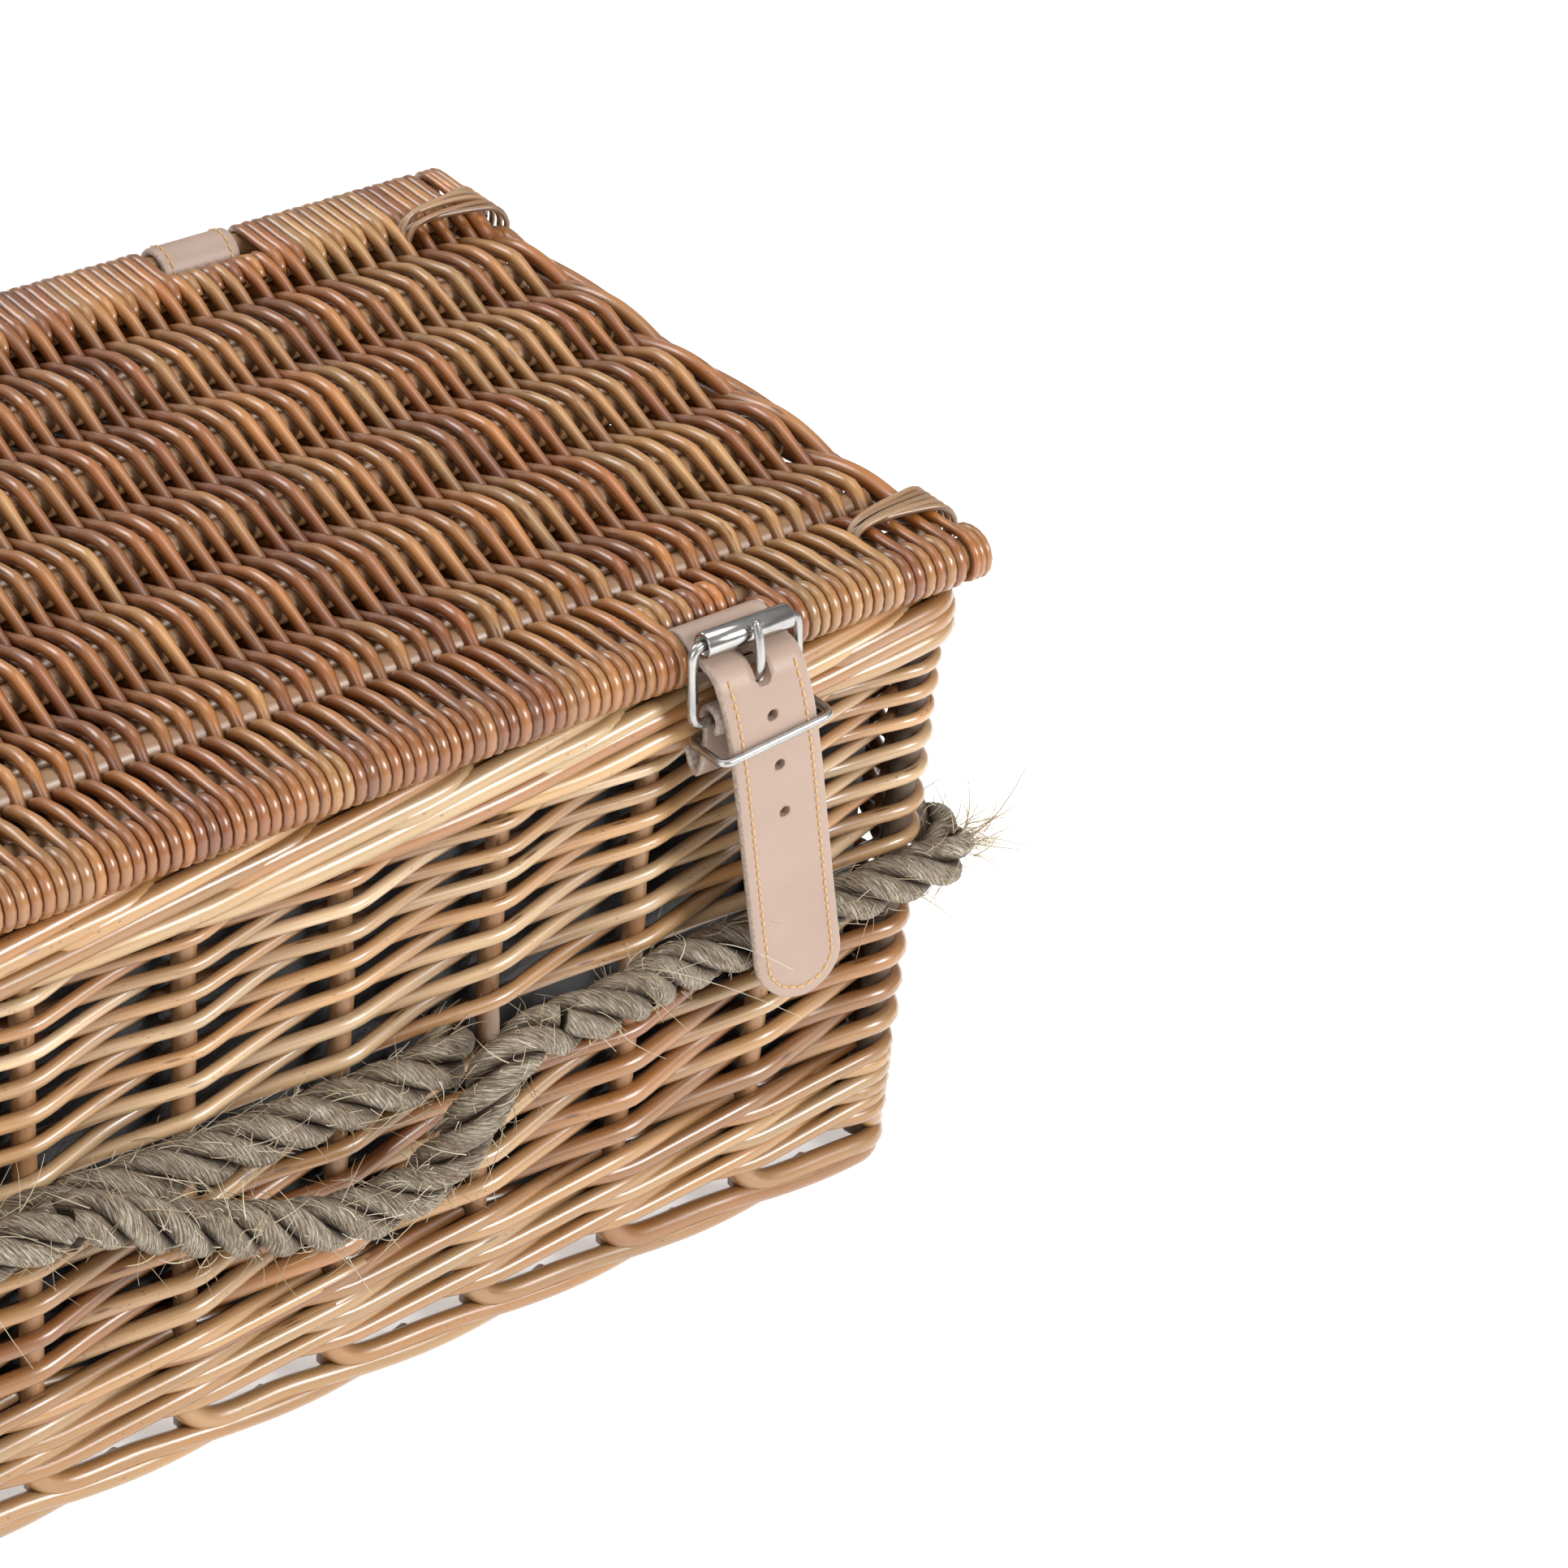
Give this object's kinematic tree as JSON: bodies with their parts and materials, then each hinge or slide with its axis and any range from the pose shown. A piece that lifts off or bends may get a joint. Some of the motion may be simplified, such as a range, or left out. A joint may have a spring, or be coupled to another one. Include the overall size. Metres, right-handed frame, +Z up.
{
  "type": "lidded wicker basket",
  "caption": "Rectangular woven willow hamper with a hinged lid, two leather straps with roller buckles, a rope girdle and one rope carrying handle.",
  "frame": {"origin": "on the ground under the middle of the outer box, measured without the loose handle", "axes": "+X along the hamper to the right seen from the front, -Y is the front with the straps and handle, +Z up"},
  "size_m": [0.4088, 0.2627, 0.1909],
  "materials": {
    "willow": "satin",
    "stick": "satin",
    "post": "matte",
    "cane": "satin",
    "lining": "semi-gloss",
    "leather": "satin",
    "steel": "polished",
    "rope": "matte"
  },
  "bodies": {
    "basket": {"back_run_rope": "rope", "base_stick_1": "stick", "base_stick_2": "stick", "base_stick_3": "stick", "base_weave": "willow", "border_and_stakes_back": "willow", "border_and_stakes_front": "willow", "border_and_stakes_left": "willow", "border_and_stakes_right": "willow", "buckle_chape_left": "leather", "buckle_chape_right": "leather", "corner_post_back_left": "post", "corner_post_back_right": "post", "corner_post_front_left": "post", "corner_post_front_right": "post", "foot_border": "willow", "girdle_rope": "rope", "hinge_loop_left": "leather", "hinge_loop_right": "leather", "lining": "lining", "lower_weave_back": "willow", "lower_weave_front": "willow", "lower_weave_left": "willow", "lower_weave_right": "willow", "upper_weave_back": "willow", "upper_weave_front": "willow", "upper_weave_left": "willow", "upper_weave_right": "willow"},
    "strap_left": {"strap_left": "leather"},
    "buckle_left": {"buckle_frame_left": "steel"},
    "prong_left": {"buckle_prong_left": "steel"},
    "roller_left": {"buckle_roller_left": "steel"},
    "keeper_left": {"keeper_ring_left": "steel"},
    "strap_right": {"strap_right": "leather"},
    "buckle_right": {"buckle_frame_right": "steel"},
    "prong_right": {"buckle_prong_right": "steel"},
    "roller_right": {"buckle_roller_right": "steel"},
    "keeper_right": {"keeper_ring_right": "steel"},
    "handle": {"handle_rope": "rope"},
    "lid": {"back_edge_stick": "stick", "back_second_stick": "stick", "front_edge_stick": "stick", "front_second_stick": "stick", "lashing_back_left": "cane", "lashing_back_right": "cane", "lashing_front_left": "cane", "lashing_front_right": "cane", "lid_end_left": "willow", "lid_end_right": "willow", "lid_thick_stick_1": "stick", "lid_thick_stick_2": "stick", "lid_thick_stick_3": "stick", "lid_thick_stick_4": "stick", "lid_thick_stick_5": "stick", "lid_thin_stick_1": "stick", "lid_thin_stick_2": "stick", "lid_thin_stick_3": "stick", "lid_thin_stick_4": "stick", "lid_thin_stick_5": "stick", "lid_weave": "willow"}
  },
  "joints": [
    {"name": "lid_hinge", "type": "hinge", "parent": "basket", "child": "lid", "pos_m": [0, 0.11881, 0.178], "axis": [-1, 0, 0], "range_deg": [0, 180]},
    {"name": "strap_left_swing", "type": "hinge", "parent": "lid", "child": "strap_left", "pos_m": [-0.122, -0.10719, 0.178], "axis": [-1, 0, 0], "range_deg": [-90, 0], "deforming": ["strap_left"]},
    {"name": "buckle_left_tilt", "type": "hinge", "parent": "basket", "child": "buckle_left", "pos_m": [-0.122, -0.11769, 0.166], "axis": [1, 0, 0], "range_deg": [0, 80]},
    {"name": "prong_left_swing", "type": "hinge", "parent": "buckle_left", "child": "prong_left", "pos_m": [-0.122, -0.11769, 0.166], "axis": [1, 0, 0], "range_deg": [0, 35]},
    {"name": "roller_left_spin", "type": "hinge", "parent": "buckle_left", "child": "roller_left", "pos_m": [-0.122, -0.11619, 0.186], "axis": [1, 0, 0], "continuous": true},
    {"name": "keeper_left_swing", "type": "hinge", "parent": "basket", "child": "keeper_left", "pos_m": [-0.125, -0.11179, 0.161], "axis": [1, 0, 0], "range_deg": [0, 25]},
    {"name": "strap_right_swing", "type": "hinge", "parent": "lid", "child": "strap_right", "pos_m": [0.122, -0.10719, 0.178], "axis": [-1, 0, 0], "range_deg": [-90, 0], "deforming": ["strap_right"]},
    {"name": "buckle_right_tilt", "type": "hinge", "parent": "basket", "child": "buckle_right", "pos_m": [0.122, -0.11769, 0.166], "axis": [1, 0, 0], "range_deg": [0, 80]},
    {"name": "prong_right_swing", "type": "hinge", "parent": "buckle_right", "child": "prong_right", "pos_m": [0.122, -0.11769, 0.166], "axis": [1, 0, 0], "range_deg": [0, 35]},
    {"name": "roller_right_spin", "type": "hinge", "parent": "buckle_right", "child": "roller_right", "pos_m": [0.122, -0.11619, 0.186], "axis": [1, 0, 0], "continuous": true},
    {"name": "keeper_right_swing", "type": "hinge", "parent": "basket", "child": "keeper_right", "pos_m": [0.125, -0.11179, 0.161], "axis": [1, 0, 0], "range_deg": [0, 25]},
    {"name": "handle_swing", "type": "hinge", "parent": "basket", "child": "handle", "pos_m": [0, -0.12419, 0.1015], "axis": [-1, 0, 0], "range_deg": [0, 165]}
  ],
  "couplings": [
    {"joint": "strap_left_swing", "follows": "lid_hinge", "ratio": -0.5},
    {"joint": "strap_right_swing", "follows": "lid_hinge", "ratio": -0.5}
  ]
}
